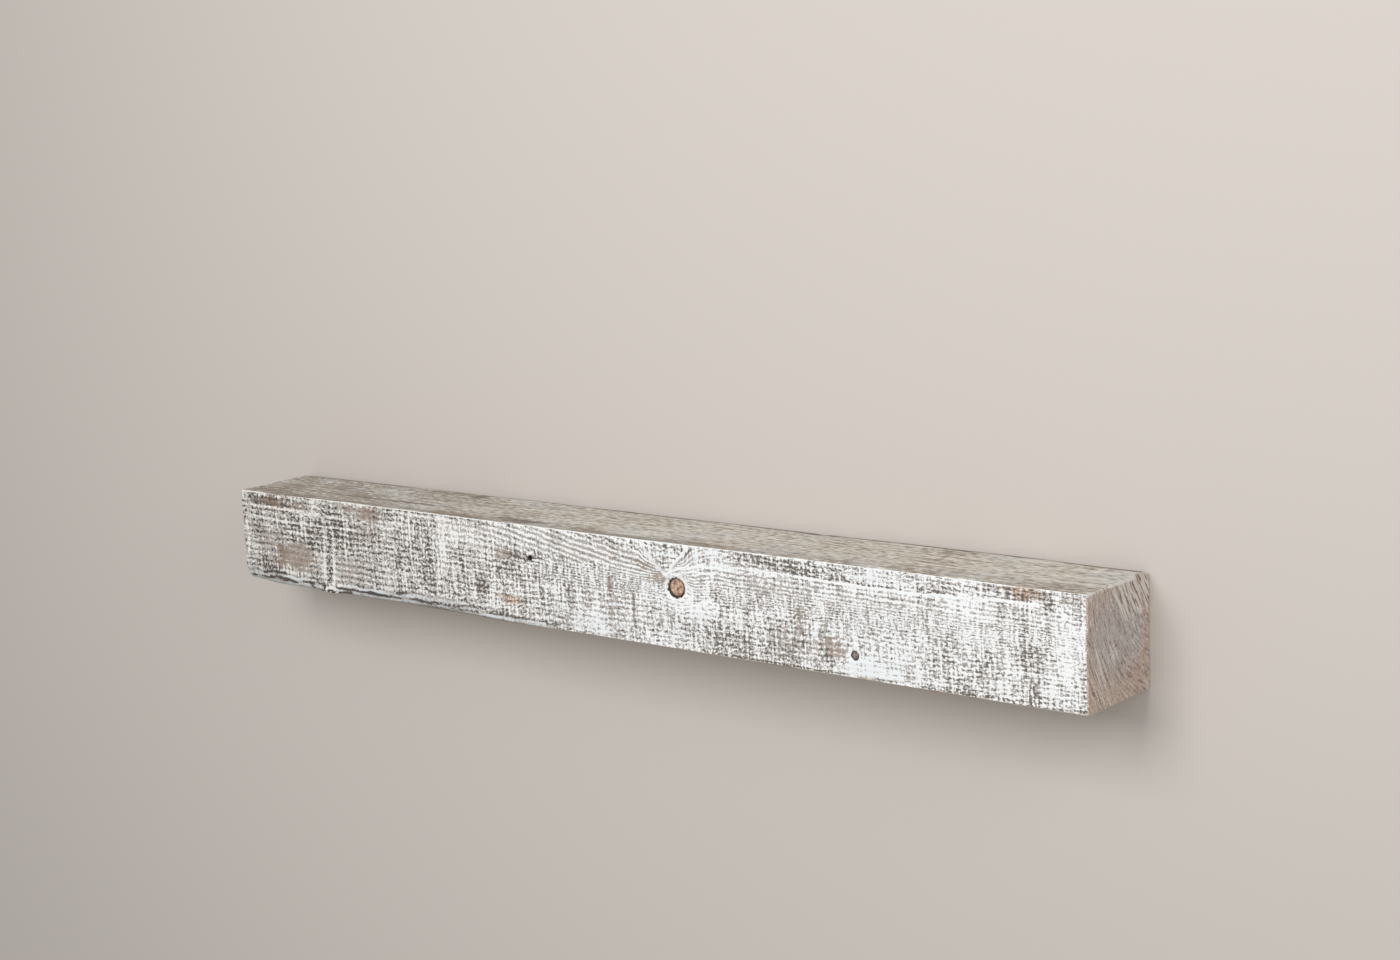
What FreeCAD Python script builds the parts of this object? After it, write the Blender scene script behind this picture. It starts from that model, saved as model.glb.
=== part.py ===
# Floating wall shelf: a solid sawn beam that slides onto the rods of a hidden steel wall plate.
# Millimetres. +X runs along the beam, -Y points out of the wall and +Z is up.
# The origin lies on the wall face, at the middle of the wall plate and of the beam's height.
import FreeCAD, Part
import math
import os

from FreeCAD import Vector

# Beam: one baulk of reclaimed softwood, square in section
BEAM_LENGTH = 1500.0
BEAM_HEIGHT = 140.0
BEAM_DEPTH = 140.0
ARRIS_RADIUS = 2.5
BACK_TOP_RADIUS = 11.0
END_EASE_SHARE = 0.6

# Wane: the bark edge left on the lower front corner, widest at the left end
WANE_LENGTH = 715.0
WANE_HEIGHT = 23.0
WANE_DEPTH = 13.0
WANE_CROWN = 2.2
# Each pair is a place along the wane, from the left end, and the wane's size there.
# The dip in the middle is a burr, where a knot fills the corner out again.
WANE_SHARES = (
    (0.00, 1.00),
    (0.126, 0.72),
    (0.231, 0.58),
    (0.263, 0.16),
    (0.294, 0.12),
    (0.315, 0.55),
    (0.466, 0.76),
    (0.566, 0.84),
    (0.671, 0.80),
    (0.734, 0.50),
    (0.867, 0.34),
    (1.00, -0.12),
)

# Old nail hole in the front face, measured from the beam's middle
NAIL_DIAMETER = 4.5
NAIL_DEPTH = 16.0
NAIL_X = -125.0
NAIL_Z = 25.0

# Wall plate: a steel bar that the beam's back hides
PLATE_COVER = 190.0
PLATE_HEIGHT = 80.0
PLATE_THICKNESS = 6.0
PLATE_CORNER_RADIUS = 5.0

# Support rods: screwed into the plate, one in each bore of the beam
ROD_COUNT = 5
ROD_END_MARGIN = 60.0
ROD_DIAMETER = 16.0
ROD_TIP_CHAMFER = 2.0
SPIGOT_DIAMETER = 12.0
SPIGOT_SETBACK = 0.5
SPIGOT_CLEARANCE = 0.05
FLATS_WIDTH = 13.0
FLATS_LENGTH = 7.0

# How the beam fits over the plate and the rods
ROD_CLEARANCE = 0.25
BORE_END_GAP = 4.0
FRONT_WALL = 26.0
CHANNEL_CLEARANCE = 2.0
CHANNEL_CORNER_RADIUS = 6.0
HEAD_CLEARANCE = 1.5

# Wall screws: hexagon heads on washers, in two rows, with a column midway between each two rods
SCREW_EDGE_MARGIN = 15.0
SCREW_NECK_DIAMETER = 8.0
SCREW_THREAD_DIAMETER = 7.5
SCREW_HOLE_CLEARANCE = 0.5
SCREW_GRIP = 60.0
SCREW_TIP_LENGTH = 8.0
SCREW_TIP_DIAMETER = 2.0
HEAD_WIDTH = 13.0
HEAD_HEIGHT = 5.3
WASHER_DIAMETER = 16.0
WASHER_THICKNESS = 1.6
WASHER_BORE_CLEARANCE = 0.2

# Lock screws: grub screws in threaded inserts under the beam, which pinch the rods beside the middle one
LOCK_ROD_STEPS = (-1, 1)
LOCK_SCREW_DIAMETER = 8.0
LOCK_SCREW_LENGTH = 20.0
LOCK_THREAD_CLEARANCE = 0.05
LOCK_TIP_GAP = 0.2
LOCK_CHAMFER = 0.8
SOCKET_WIDTH = 4.0
SOCKET_DEPTH = 5.0
INSERT_DIAMETER = 12.0
INSERT_LENGTH = 15.0
INSERT_SETBACK = 3.0
INSERT_SLOT_WIDTH = 1.6
INSERT_SLOT_DEPTH = 2.0

# How far a cutting solid runs past the face that it cuts
CUT_OVERRUN = 5.0

# Sizes worked out from those above
BOTTOM = -BEAM_HEIGHT / 2
TOP = BEAM_HEIGHT / 2
FRONT = -BEAM_DEPTH
LEFT = -BEAM_LENGTH / 2
PLATE_LENGTH = BEAM_LENGTH - 2 * PLATE_COVER
PLATE_FRONT = -PLATE_THICKNESS
ROD_RADIUS = ROD_DIAMETER / 2
ROD_PITCH = (PLATE_LENGTH - 2 * ROD_END_MARGIN) / (ROD_COUNT - 1)
ROD_PLACES = [(i - (ROD_COUNT - 1) / 2) * ROD_PITCH for i in range(ROD_COUNT)]
BORE_RADIUS = ROD_RADIUS + ROD_CLEARANCE
BORE_END = FRONT + FRONT_WALL
ROD_TIP = BORE_END + BORE_END_GAP
WASHER_FRONT = PLATE_FRONT - WASHER_THICKNESS
HEAD_FRONT = WASHER_FRONT - HEAD_HEIGHT
CHANNEL_FLOOR = HEAD_FRONT - HEAD_CLEARANCE
SCREW_HOLE_RADIUS = SCREW_NECK_DIAMETER / 2 + SCREW_HOLE_CLEARANCE
SCREW_ROW = PLATE_HEIGHT / 2 - SCREW_EDGE_MARGIN
SCREW_COLUMNS = [(a + b) / 2 for a, b in zip(ROD_PLACES, ROD_PLACES[1:])]
SCREW_PLACES = [(x, z) for z in (SCREW_ROW, -SCREW_ROW) for x in SCREW_COLUMNS]
LOCK_PLACES = [step * ROD_PITCH for step in LOCK_ROD_STEPS]
LOCK_Y = (CHANNEL_FLOOR + ROD_TIP) / 2
LOCK_TIP = -ROD_RADIUS - LOCK_TIP_GAP
INSERT_TOP = -BORE_RADIUS - INSERT_SETBACK

OUT_OF_WALL = Vector(0, -1, 0)
DOWN = Vector(0, 0, -1)


def cylinder_out(radius, x, z, start, end):
    """Cylinder along the wall's normal, from y = start out to y = end."""
    return Part.makeCylinder(radius, start - end, Vector(x, start, z), OUT_OF_WALL)


def cylinder_down(radius, x, y, start, end):
    """Cylinder from z = start down to z = end."""
    return Part.makeCylinder(radius, start - end, Vector(x, y, start), DOWN)


def rounded_face(low, high, radii, place):
    """Face of a rectangle with a radius at each corner, from its low corner round.

    place turns (u, v) into a point.
    """
    corners = ((low[0], low[1]), (high[0], low[1]), (high[0], high[1]), (low[0], high[1]))
    ways = ((1, 0), (0, 1), (-1, 0), (0, -1))
    inset_share = 1 - math.sqrt(0.5)
    arcs = []
    for i, ((u, v), r) in enumerate(zip(corners, radii)):
        (au, av), (bu, bv) = ways[i - 1], ways[i]
        start = place(u - r * au, v - r * av)
        middle = place(u + r * inset_share * (bu - au), v + r * inset_share * (bv - av))
        end = place(u + r * bu, v + r * bv)
        arcs.append((start, middle, end))
    edges = []
    for i, (start, middle, end) in enumerate(arcs):
        edges.append(Part.LineSegment(arcs[i - 1][2], start).toShape())
        edges.append(Part.Arc(start, middle, end).toShape())
    return Part.Face(Part.Wire(edges))


def hexagon_prism(width, start, axis, length):
    """Hexagon prism of this width across its flats, from the centre point start along axis."""
    radius = width / math.sqrt(3)
    u = Vector(1, 0, 0)
    v = axis.cross(u)
    turns = [i * math.pi / 3 for i in range(7)]
    points = [start + u * (radius * math.cos(t)) + v * (radius * math.sin(t)) for t in turns]
    return Part.Face(Part.makePolygon(points)).extrude(axis * length)


def chamfered(shape, size, on_edge):
    """The shape with a chamfer on each edge that on_edge picks."""
    return shape.makeChamfer(size, [edge for edge in shape.Edges if on_edge(edge)])


def wane_section(x, share):
    """Closed outline of what the wane takes off the corner at x, with a crowned face as bark has."""
    slope = WANE_HEIGHT / WANE_DEPTH
    upper = Vector(x, FRONT - CUT_OVERRUN, BOTTOM + share * WANE_HEIGHT + CUT_OVERRUN * slope)
    lower = Vector(x, FRONT + share * WANE_DEPTH + CUT_OVERRUN / slope, BOTTOM - CUT_OVERRUN)
    corner = Vector(x, upper.y, lower.z)
    chord = (upper + lower) / 2
    crown = chord + (corner - chord).normalize() * WANE_CROWN
    edges = [
        Part.Arc(upper, crown, lower).toShape(),
        Part.LineSegment(lower, corner).toShape(),
        Part.LineSegment(corner, upper).toShape(),
    ]
    return Part.Wire(edges)


def wane():
    """The bark edge as one solid to cut from the beam."""
    sections = [wane_section(LEFT - CUT_OVERRUN, WANE_SHARES[0][1])]
    for place_share, size_share in WANE_SHARES:
        sections.append(wane_section(LEFT + place_share * WANE_LENGTH, size_share))
    return Part.makeLoft(sections, True, True)


def channel():
    """The routed recess in the beam's back that takes the wall plate and the screw heads."""
    half_length = PLATE_LENGTH / 2 + CHANNEL_CLEARANCE
    half_height = PLATE_HEIGHT / 2 + CHANNEL_CLEARANCE
    mouth = rounded_face(
        (-half_length, -half_height),
        (half_length, half_height),
        [CHANNEL_CORNER_RADIUS] * 4,
        lambda x, z: Vector(x, CUT_OVERRUN, z),
    )
    return mouth.extrude(OUT_OF_WALL * (CUT_OVERRUN - CHANNEL_FLOOR))


def beam():
    """The baulk with its wane, the recess and bores in its back, and the lock screw holes from below."""
    section = rounded_face(
        (FRONT, BOTTOM),
        (0, TOP),
        (ARRIS_RADIUS, ARRIS_RADIUS, BACK_TOP_RADIUS, ARRIS_RADIUS),
        lambda y, z: Vector(LEFT, y, z),
    )
    baulk = section.extrude(Vector(BEAM_LENGTH, 0, 0))
    baulk = chamfered(baulk, END_EASE_SHARE * ARRIS_RADIUS, lambda edge: edge.BoundBox.XLength < ARRIS_RADIUS)
    cuts = [wane(), channel()]
    for x in ROD_PLACES:
        cuts.append(cylinder_out(BORE_RADIUS, x, 0, CUT_OVERRUN, BORE_END))
    for x in LOCK_PLACES:
        cuts.append(cylinder_down(INSERT_DIAMETER / 2, x, LOCK_Y, 0, BOTTOM - CUT_OVERRUN))
    nail_start = FRONT + NAIL_DEPTH
    cuts.append(cylinder_out(NAIL_DIAMETER / 2, NAIL_X, NAIL_Z, nail_start, FRONT - CUT_OVERRUN))
    return baulk.cut(cuts)


def wall_plate():
    """The steel bar, bored for the rods' spigots and the wall screws."""
    face = rounded_face(
        (-PLATE_LENGTH / 2, -PLATE_HEIGHT / 2),
        (PLATE_LENGTH / 2, PLATE_HEIGHT / 2),
        [PLATE_CORNER_RADIUS] * 4,
        lambda x, z: Vector(x, 0, z),
    )
    bar = face.extrude(OUT_OF_WALL * PLATE_THICKNESS)
    past_front = PLATE_FRONT - CUT_OVERRUN
    cuts = [cylinder_out(SPIGOT_DIAMETER / 2, x, 0, CUT_OVERRUN, past_front) for x in ROD_PLACES]
    for x, z in SCREW_PLACES:
        cuts.append(cylinder_out(SCREW_HOLE_RADIUS, x, z, CUT_OVERRUN, past_front))
    return bar.cut(cuts)


def support_rod(x):
    """A bright rod with a spigot in the plate, two spanner flats at its shoulder and a chamfered tip."""
    rod = cylinder_out(ROD_RADIUS, x, 0, PLATE_FRONT, ROD_TIP)
    rod = chamfered(rod, ROD_TIP_CHAMFER, lambda edge: edge.BoundBox.YMax < ROD_TIP + ROD_TIP_CHAMFER)
    spigot_radius = SPIGOT_DIAMETER / 2 - SPIGOT_CLEARANCE
    spigot = cylinder_out(spigot_radius, x, 0, -SPIGOT_SETBACK, PLATE_FRONT)
    rod = rod.fuse(spigot).removeSplitter()
    for side in (-1, 1):
        middle = x + side * (FLATS_WIDTH + ROD_DIAMETER) / 2
        corner = Vector(middle - ROD_DIAMETER / 2, PLATE_FRONT - FLATS_LENGTH, -ROD_DIAMETER)
        rod = rod.cut(Part.makeBox(ROD_DIAMETER, FLATS_LENGTH, 2 * ROD_DIAMETER, corner))
    return rod


def wall_screw(x, z):
    """A hexagon-headed screw, with its neck in the plate and its thread in the wall behind."""
    head = hexagon_prism(HEAD_WIDTH, Vector(x, WASHER_FRONT, z), OUT_OF_WALL, HEAD_HEIGHT)
    corner_radius = HEAD_WIDTH / math.sqrt(3)
    blank = cylinder_out(corner_radius, x, z, WASHER_FRONT, HEAD_FRONT)
    on_face = HEAD_FRONT + HEAD_HEIGHT / 2
    blank = chamfered(blank, corner_radius - HEAD_WIDTH / 2, lambda edge: edge.BoundBox.YMax < on_face)
    neck = cylinder_out(SCREW_NECK_DIAMETER / 2, x, z, 0, WASHER_FRONT)
    tip_start = SCREW_GRIP - SCREW_TIP_LENGTH
    thread = cylinder_out(SCREW_THREAD_DIAMETER / 2, x, z, tip_start, 0)
    tip = Part.makeCone(
        SCREW_TIP_DIAMETER / 2,
        SCREW_THREAD_DIAMETER / 2,
        SCREW_TIP_LENGTH,
        Vector(x, SCREW_GRIP, z),
        OUT_OF_WALL,
    )
    return head.common(blank).fuse([neck, thread, tip]).removeSplitter()


def screw_washer(x, z):
    """A flat washer between a screw head and the plate."""
    bore = SCREW_NECK_DIAMETER / 2 + WASHER_BORE_CLEARANCE
    disc = cylinder_out(WASHER_DIAMETER / 2, x, z, PLATE_FRONT, WASHER_FRONT)
    return disc.cut(cylinder_out(bore, x, z, PLATE_FRONT + CUT_OVERRUN, WASHER_FRONT - CUT_OVERRUN))


def lock_insert(x):
    """A threaded insert just short of the rod's bore, with a driving slot in its lower end."""
    bottom = INSERT_TOP - INSERT_LENGTH
    sleeve = cylinder_down(INSERT_DIAMETER / 2, x, LOCK_Y, INSERT_TOP, bottom)
    sleeve = sleeve.cut(
        cylinder_down(LOCK_SCREW_DIAMETER / 2, x, LOCK_Y, INSERT_TOP + CUT_OVERRUN, bottom - CUT_OVERRUN)
    )
    slot_corner = Vector(x - INSERT_DIAMETER, LOCK_Y - INSERT_SLOT_WIDTH / 2, bottom)
    return sleeve.cut(Part.makeBox(2 * INSERT_DIAMETER, INSERT_SLOT_WIDTH, INSERT_SLOT_DEPTH, slot_corner))


def lock_screw(x):
    """A grub screw whose flat tip stands just under the rod, with a hexagon socket in its lower end."""
    bottom = LOCK_TIP - LOCK_SCREW_LENGTH
    radius = LOCK_SCREW_DIAMETER / 2 - LOCK_THREAD_CLEARANCE
    screw = cylinder_down(radius, x, LOCK_Y, LOCK_TIP, bottom)
    screw = chamfered(screw, LOCK_CHAMFER, lambda edge: edge.BoundBox.ZLength < LOCK_CHAMFER)
    socket = hexagon_prism(SOCKET_WIDTH, Vector(x, LOCK_Y, bottom), -DOWN, SOCKET_DEPTH)
    return screw.cut(socket)


def pieces():
    """Every piece of the shelf under its own name."""
    made = {"beam": beam(), "wall_plate": wall_plate()}
    for number, x in enumerate(ROD_PLACES, 1):
        made[f"support_rod_{number}"] = support_rod(x)
    for number, (x, z) in enumerate(SCREW_PLACES, 1):
        made[f"wall_screw_{number}"] = wall_screw(x, z)
        made[f"screw_washer_{number}"] = screw_washer(x, z)
    for number, x in enumerate(LOCK_PLACES, 1):
        made[f"lock_insert_{number}"] = lock_insert(x)
        made[f"lock_screw_{number}"] = lock_screw(x)
    return made


os.makedirs("parts", exist_ok=True)
for name, shape in pieces().items():
    shape.exportStep(f"parts/{name}.step")
    print(name, len(shape.Solids), shape.isValid(), round(shape.Volume))
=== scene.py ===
"""Looks of the floating wall shelf: a sawn pine beam under a worn white wash, on a hidden steel bracket."""
import math

import bmesh
import bpy
import numpy as np
from mathutils import Matrix, Vector


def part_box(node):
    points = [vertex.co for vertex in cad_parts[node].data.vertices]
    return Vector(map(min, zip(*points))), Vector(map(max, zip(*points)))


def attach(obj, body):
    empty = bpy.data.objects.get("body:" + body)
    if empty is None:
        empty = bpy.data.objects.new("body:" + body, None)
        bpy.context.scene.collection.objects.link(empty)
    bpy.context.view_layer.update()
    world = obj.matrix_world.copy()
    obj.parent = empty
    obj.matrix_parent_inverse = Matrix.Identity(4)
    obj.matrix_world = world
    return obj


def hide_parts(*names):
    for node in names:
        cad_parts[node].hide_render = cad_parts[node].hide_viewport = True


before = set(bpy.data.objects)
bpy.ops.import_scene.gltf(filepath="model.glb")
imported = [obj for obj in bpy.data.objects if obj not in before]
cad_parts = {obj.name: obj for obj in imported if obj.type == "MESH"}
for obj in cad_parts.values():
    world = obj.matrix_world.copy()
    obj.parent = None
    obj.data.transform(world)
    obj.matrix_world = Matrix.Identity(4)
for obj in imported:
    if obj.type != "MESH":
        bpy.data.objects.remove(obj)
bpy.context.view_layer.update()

# Lengths in this script are millimetres, and meshes are metres
MM = 0.001


def box_mm(node):
    """Lowest and highest corner of a node, in millimetres."""
    return [np.array(corner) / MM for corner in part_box(node)]


(LEFT, FRONT, BOTTOM), (RIGHT, BACK, TOP) = box_mm("beam")
MIDDLE_Y, MIDDLE_Z = (FRONT + BACK) / 2, (BOTTOM + TOP) / 2

# Beam: its arrises, and how finely each face is modelled
ARRIS_RADIUS = 2.5
LOWER_ARRIS_RADIUS = 1.0
BACK_TOP_RADIUS = 11.0
END_EASE = 1.5
STATION_STEP = 2.55
FRONT_STEP, TOP_STEP, BACK_STEP, BOTTOM_STEP = 2.0, 4.0, 10.0, 5.0
ARC_STEPS = 3
CAP_RINGS = 22
CAP_INNER_SHARE = 0.03

# How far the sawn faces are set back from the solid's, and a length that is next to nothing
SAWN_DROP = 0.3
TINY = 1e-9

# Wane: the bark edge on the lower front corner, with places and sizes as shares, as the solid has it
WANE_LENGTH = 715.0
WANE_HEIGHT = 23.0
WANE_DEPTH = 13.0
WANE_CROWN = 2.2
WANE_SHARES = (
    (0.00, 1.00), (0.126, 0.72), (0.231, 0.58), (0.263, 0.16), (0.294, 0.12), (0.315, 0.55),
    (0.466, 0.76), (0.566, 0.84), (0.671, 0.80), (0.734, 0.50), (0.867, 0.34), (1.00, -0.12),
)

# Knots in the front face, and the burr on the wane: x, z, half width and half height
LARGE_KNOT = (139.0, 11.4, 14.8, 13.8)
LARGE_HEART = (140.4, 12.2, 11.2, 10.9)
PIN_KNOT = (424.0, -42.2, 6.0, 6.2)
PIN_HEART = (424.2, -41.9, 4.3, 4.5)
BURR = (-549.0, -62.0, 21.0, 11.0)

# Wedge of level grain above the large knot: heights, and where its left and right sides lie at each
WEDGE_HEIGHTS = (27, 40, 52, 68)
WEDGE_LEFT = (122, 104, 90, 80)
WEDGE_RIGHT = (124, 134, 146, 163)

# Patches of the front face: x, z, half width, half height and strength
BARE_PATCHES = (
    (-690, 57, 38, 9, 1.0), (-612, 58, 26, 8, 0.6), (-505, 60, 26, 8, 0.7), (-455, 55, 34, 14, 0.65),
    (-460, 30, 40, 14, 0.5), (-630, -25, 58, 24, 1.0), (-690, -5, 40, 30, 0.45),
    (-500, -33, 40, 24, 0.4), (-250, 50, 60, 14, 0.35), (-180, 27, 38, 11, 0.65), (82, 36, 34, 10, 0.9),
    (108, 23, 20, 10, 1.0), (-10, 44, 90, 16, 0.35), (22, -5, 3.5, 48, 0.9), (63, -25, 3.5, 34, 0.7),
    (342, -8, 7, 24, 0.7), (395, -36, 20, 16, 0.9), (300, 35, 60, 22, 0.35), (330, -40, 50, 22, 0.35),
)
AMBER_PATCHES = (
    (-165, -39, 26, 8, 0.8), (-690, 57, 34, 8, 0.7), (-468, 57, 40, 10, 0.55), (668, 63, 34, 11, 0.9),
    (728, 60, 20, 8, 0.6), (-82, 60, 14, 6, 0.6), (445, -69, 20, 2.5, 0.9),
)
CLEAN_PATCHES = (
    (445, -57, 52, 16, 0.85), (485, -30, 50, 36, 0.3), (-10, -52, 50, 16, 0.4), (165, -12, 40, 20, 0.5),
    (182, 0, 20, 8, 0.5), (205, 58, 42, 14, 0.3), (120, 57, 24, 13, 0.45), (470, 56, 70, 12, 0.4),
    (590, 50, 30, 50, 0.4), (724, -10, 18, 60, 0.6), (-660, 62, 3, 16, 0.6), (-582, 55, 5, 20, 0.8),
    (-300, 25, 14, 60, 0.5), (-270, 45, 60, 16, 0.5), (-395, 40, 50, 26, 0.3), (600, 3, 60, 14, 0.3),
)
STAIN_PATCHES = (
    (-690, 57, 44, 11, 0.9), (-455, 55, 34, 12, 0.35), (-700, -45, 50, 14, 0.5), (-575, 2, 4, 30, 1.0),
    (-590, 18, 60, 26, 0.6), (-520, 22, 100, 26, 0.6), (-355, 12, 40, 48, 0.4),
    (-400, -46, 50, 10, 0.4), (-200, -22, 50, 14, 0.8), (-300, -24, 40, 14, 0.3),
    (-100, -24, 50, 14, 0.35), (-165, -39, 26, 8, 0.6), (200, 3, 50, 12, 0.3), (-265, -12, 10, 50, 0.5),
    (-150, 26, 45, 7, 1.0), (-125, 25, 5.5, 4.5, 2.6), (-160, 5, 70, 20, 0.5), (-60, 10, 30, 30, 0.3),
    (22, -8, 3.5, 46, 0.9), (63, -28, 3.5, 34, 0.7), (-20, 0, 4, 30, 0.5), (80, -40, 44, 22, 0.15),
    (60, 60, 100, 10, 0.4), (212, -45, 40, 24, 0.8), (300, -42, 70, 34, 0.5), (320, 60, 110, 11, 0.9),
    (388, -46, 24, 13, 0.9), (255, 10, 60, 24, 0.3), (560, -34, 60, 26, 0.3), (676, -12, 26, 26, 0.6),
    (690, -60, 34, 12, 0.7), (600, -66, 70, 5, 0.7), (672, 58, 40, 14, 0.6), (580, 60, 30, 12, 0.6),
)
COMBED_PATCHES = (
    (70, 32, 70, 18, 1.0), (-20, 45, 90, 18, 0.9), (-130, 54, 90, 14, 0.6), (30, -28, 75, 26, 0.35),
    (-500, -33, 38, 22, 0.6), (122, 48, 50, 24, 1.0), (160, 28, 46, 22, 0.8), (139, 4, 30, 22, 1.0),
    (230, 35, 70, 15, 0.6), (420, 30, 330, 15, 0.42),
)
COOL_PATCHES = (
    (450, -56, 70, 18, 0.5), (120, 57, 26, 14, 0.5), (480, 0, 90, 40, 0.25), (-10, -54, 80, 16, 0.5),
    (160, -40, 70, 22, 0.35), (205, 60, 46, 12, 0.45), (460, 62, 60, 10, 0.4),
)

# Fine lines of the front face: half width, strength, and places (x, z) along each
WHITE_LINES = (
    (1.8, 1.4, tuple(zip(WEDGE_LEFT, WEDGE_HEIGHTS))),
    (1.6, 1.4, tuple(zip(WEDGE_RIGHT, WEDGE_HEIGHTS))),
    (1.2, 1.0, ((112, 33), (92, 45), (60, 57), (30, 68))),
    (1.6, 1.1, ((127, 31), (151, 39), (193, 45), (235, 47), (345, 47), (420, 45), (520, 45))),
    (1.6, 1.1, ((520, 45), (580, 48), (690, 50))),
    (1.1, 1.0, ((130, 28), (165, 35), (205, 36))),
    (1.4, 1.2, ((146, -6), (159, -5), (167, 3), (165, 12))),
    (1.6, 1.3, ((157, 2), (162, -4), (165, -10), (182, -5), (200, 2))),
    (1.3, 0.9, ((187, 9), (166, 6), (154, 14))),
    (1.4, 1.0, ((-745, 50), (-665, 48), (-580, 44), (-440, 43), (-400, 40))),
    (1.2, 0.9, ((-745, 36), (-650, 28), (-575, 29), (-480, 30))),
    (1.2, 0.8, ((-700, 20), (-620, 14), (-565, 9))),
    (2.6, 0.5, ((-556, 26), (-559, -10))),
    (2.6, 0.5, ((-536, 12), (-539, -20))),
    (2.8, 0.9, ((-559, -12), (-561, -30), (-564, -58))),
    (3.2, 0.9, ((-539, -22), (-540, -35), (-542, -58))),
    (1.6, 1.7, ((-561, -66), (-550, -61), (-538, -63), (-534, -67), (-541, -73), (-556, -73), (-561, -68))),
    (1.3, 1.2, ((-534, -58), (-505, -58), (-470, -57), (-440, -56), (-410, -51))),
)
DARK_LINES = (
    (2.0, 0.5, ((250, 56), (312, 55), (345, 51), (420, 49), (520, 49), (575, 52))),
    (1.6, 0.45, ((588, 66), (589, 55))),
    (1.6, 0.4, ((618, 67), (617, 56))),
    (1.6, 0.45, ((632, 66), (633, 54))),
    (1.5, 0.4, ((645, 66), (644, 57))),
    (1.6, 0.5, ((655, 67), (655, 54))),
    (1.6, 0.45, ((702, 67), (703, 52))),
    (1.6, 0.4, ((716, 66), (716, 56))),
    # Painted shadows: these dark lines lie beside the raised white strands round the large knot and stand
    # for their shade
    (1.1, 0.5, ((130, 31), (140, 41), (152, 52), (168, 65))),
    (1.3, 0.45, ((92, 66), (112, 65), (135, 63), (152, 62), (148, 55))),
    (1.0, 0.5, ((116, 31), (98, 43), (72, 56))),
    (1.0, 0.5, ((132, 31), (160, 40), (200, 43))),
    (1.1, 0.5, ((150, -2), (159, 0), (162, 7))),
    (1.2, 0.5, ((168, -6), (182, -1), (196, 6))),
    (1.5, 0.6, ((-549, -2), (-550, -30), (-551, -57))),
    (2.2, 1.4, ((-563, -57), (-564, -64))),
    (1.6, 1.7, ((-556, -67), (-548, -66), (-543, -68), (-541, -71), (-547, -72))),
    (1.5, 1.3, ((-536, -62), (-502, -61), (-467, -60), (-438, -61), (-420, -63))),
    (2.4, 1.3, ((-443, -62), (-423, -64))),
    (1.8, 1.3, ((-538, -72), (-521, -67), (-503, -64))),
    (2.0, 1.4, ((-679, -58), (-664, -59), (-647, -61), (-629, -64))),
    (1.5, 1.2, ((-692, -59), (-670, -60), (-652, -63))),
    (1.4, 1.1, ((-708, -55), (-692, -53), (-680, -51), (-657, -53))),
    (1.4, 0.9, ((-718, -62), (-696, -63))),
    (1.4, 0.8, ((-232, -55), (-213, -62), (-186, -62), (-156, -63), (-102, -63), (-77, -63))),
    (1.4, 0.9, ((-214, -58), (-190, -59), (-170, -60))),
    (1.5, 0.6, ((180, -67), (270, -67), (350, -67), (440, -68), (500, -67))),
    (1.5, 0.6, ((520, -67), (600, -67), (680, -66))),
    (1.9, 0.45, ((-141, 29), (-128, 26), (-98, 25))),
)

# Short slanting bark scars along the wane
BARK_HATCH = tuple(
    (1.4, 1.0, ((x + 3 * row, -57 - 5 * row), (x + 3 * row + 6, -61 - 5 * row)))
    for x in range(-360, -240, 9) for row in (0, 1)
)

# Stains of the top face: x, y, half width, half depth and strength
TOP_STAINS = (
    (-340, -18, 16, 26, 0.7), (160, -4, 20, 8, 0.9), (455, -4, 12, 8, 0.8), (590, -48, 30, 16, 0.4),
    (572, -52, 12, 10, 0.45), (-450, -96, 210, 5, 0.8), (-160, -122, 60, 16, 0.9),
    (100, -132, 160, 7, 0.6), (-590, -72, 60, 18, 0.5), (700, -58, 50, 4, 0.5), (700, -84, 50, 4, 0.5),
)

# Saw bands across the grain: spacing in the middle, and how many the left half lacks and the right gains
SAW_PITCH = 7.0
SAW_WIDENING = 8.0

# Growth rings: spacing at places along the front, round its large knot, and on the faces of straight grain
RING_PLACES = (-750, -250, 250, 750)
RING_SPACINGS = (9.2, 8.2, 6.8, 5.5)
KNOT_RING_SPACING = 3.4
LONG_RING_SPACING = 6.4

# Length of one unit along the grain, and of a mark that only rings and saw bands end
ALONG_UNIT = 40.0
ENDLESS = 4000.0

# A wave pattern of this scale repeats once to each unit
ONE_WAVE = 2 * math.pi / 20

# Pith of the log, above and behind the beam, which the rings of both ends go round, and their spacing there
PITH_Y, PITH_Z = 70.0, 95.0
END_RING_SPACING = 4.8

# Saw bands and scuffs of the ends: their slope, and the spacing of each
END_SAW_SLOPE = 0.6
END_BAND_SPACING, END_SCUFF_SPACING = 6.0, 4.2

# First seed of each face's own random marks
FRONT_SEED, TOP_SEED, BACK_SEED, UNDER_SEED, END_SEED = 21, 61, 71, 81, 91

# Clearances of the beam's recess and bores, as the solid has them, and how far a cutter passes a face
ROD_CLEARANCE = 0.25
BORE_END_GAP = 4.0
CHANNEL_CLEARANCE = 2.0
CHANNEL_CORNER_RADIUS = 6.0
HEAD_CLEARANCE = 1.5
CUT_OVERRUN = 5.0

# Old nail hole in the front, and the rust round it: x, z, half width and half height
NAIL_X, NAIL_Z = -125.0, 25.0
NAIL_DIAMETER, NAIL_DEPTH = 4.5, 16.0
NAIL_RUST = (NAIL_X, NAIL_Z, 4.6, 4.0)

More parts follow.
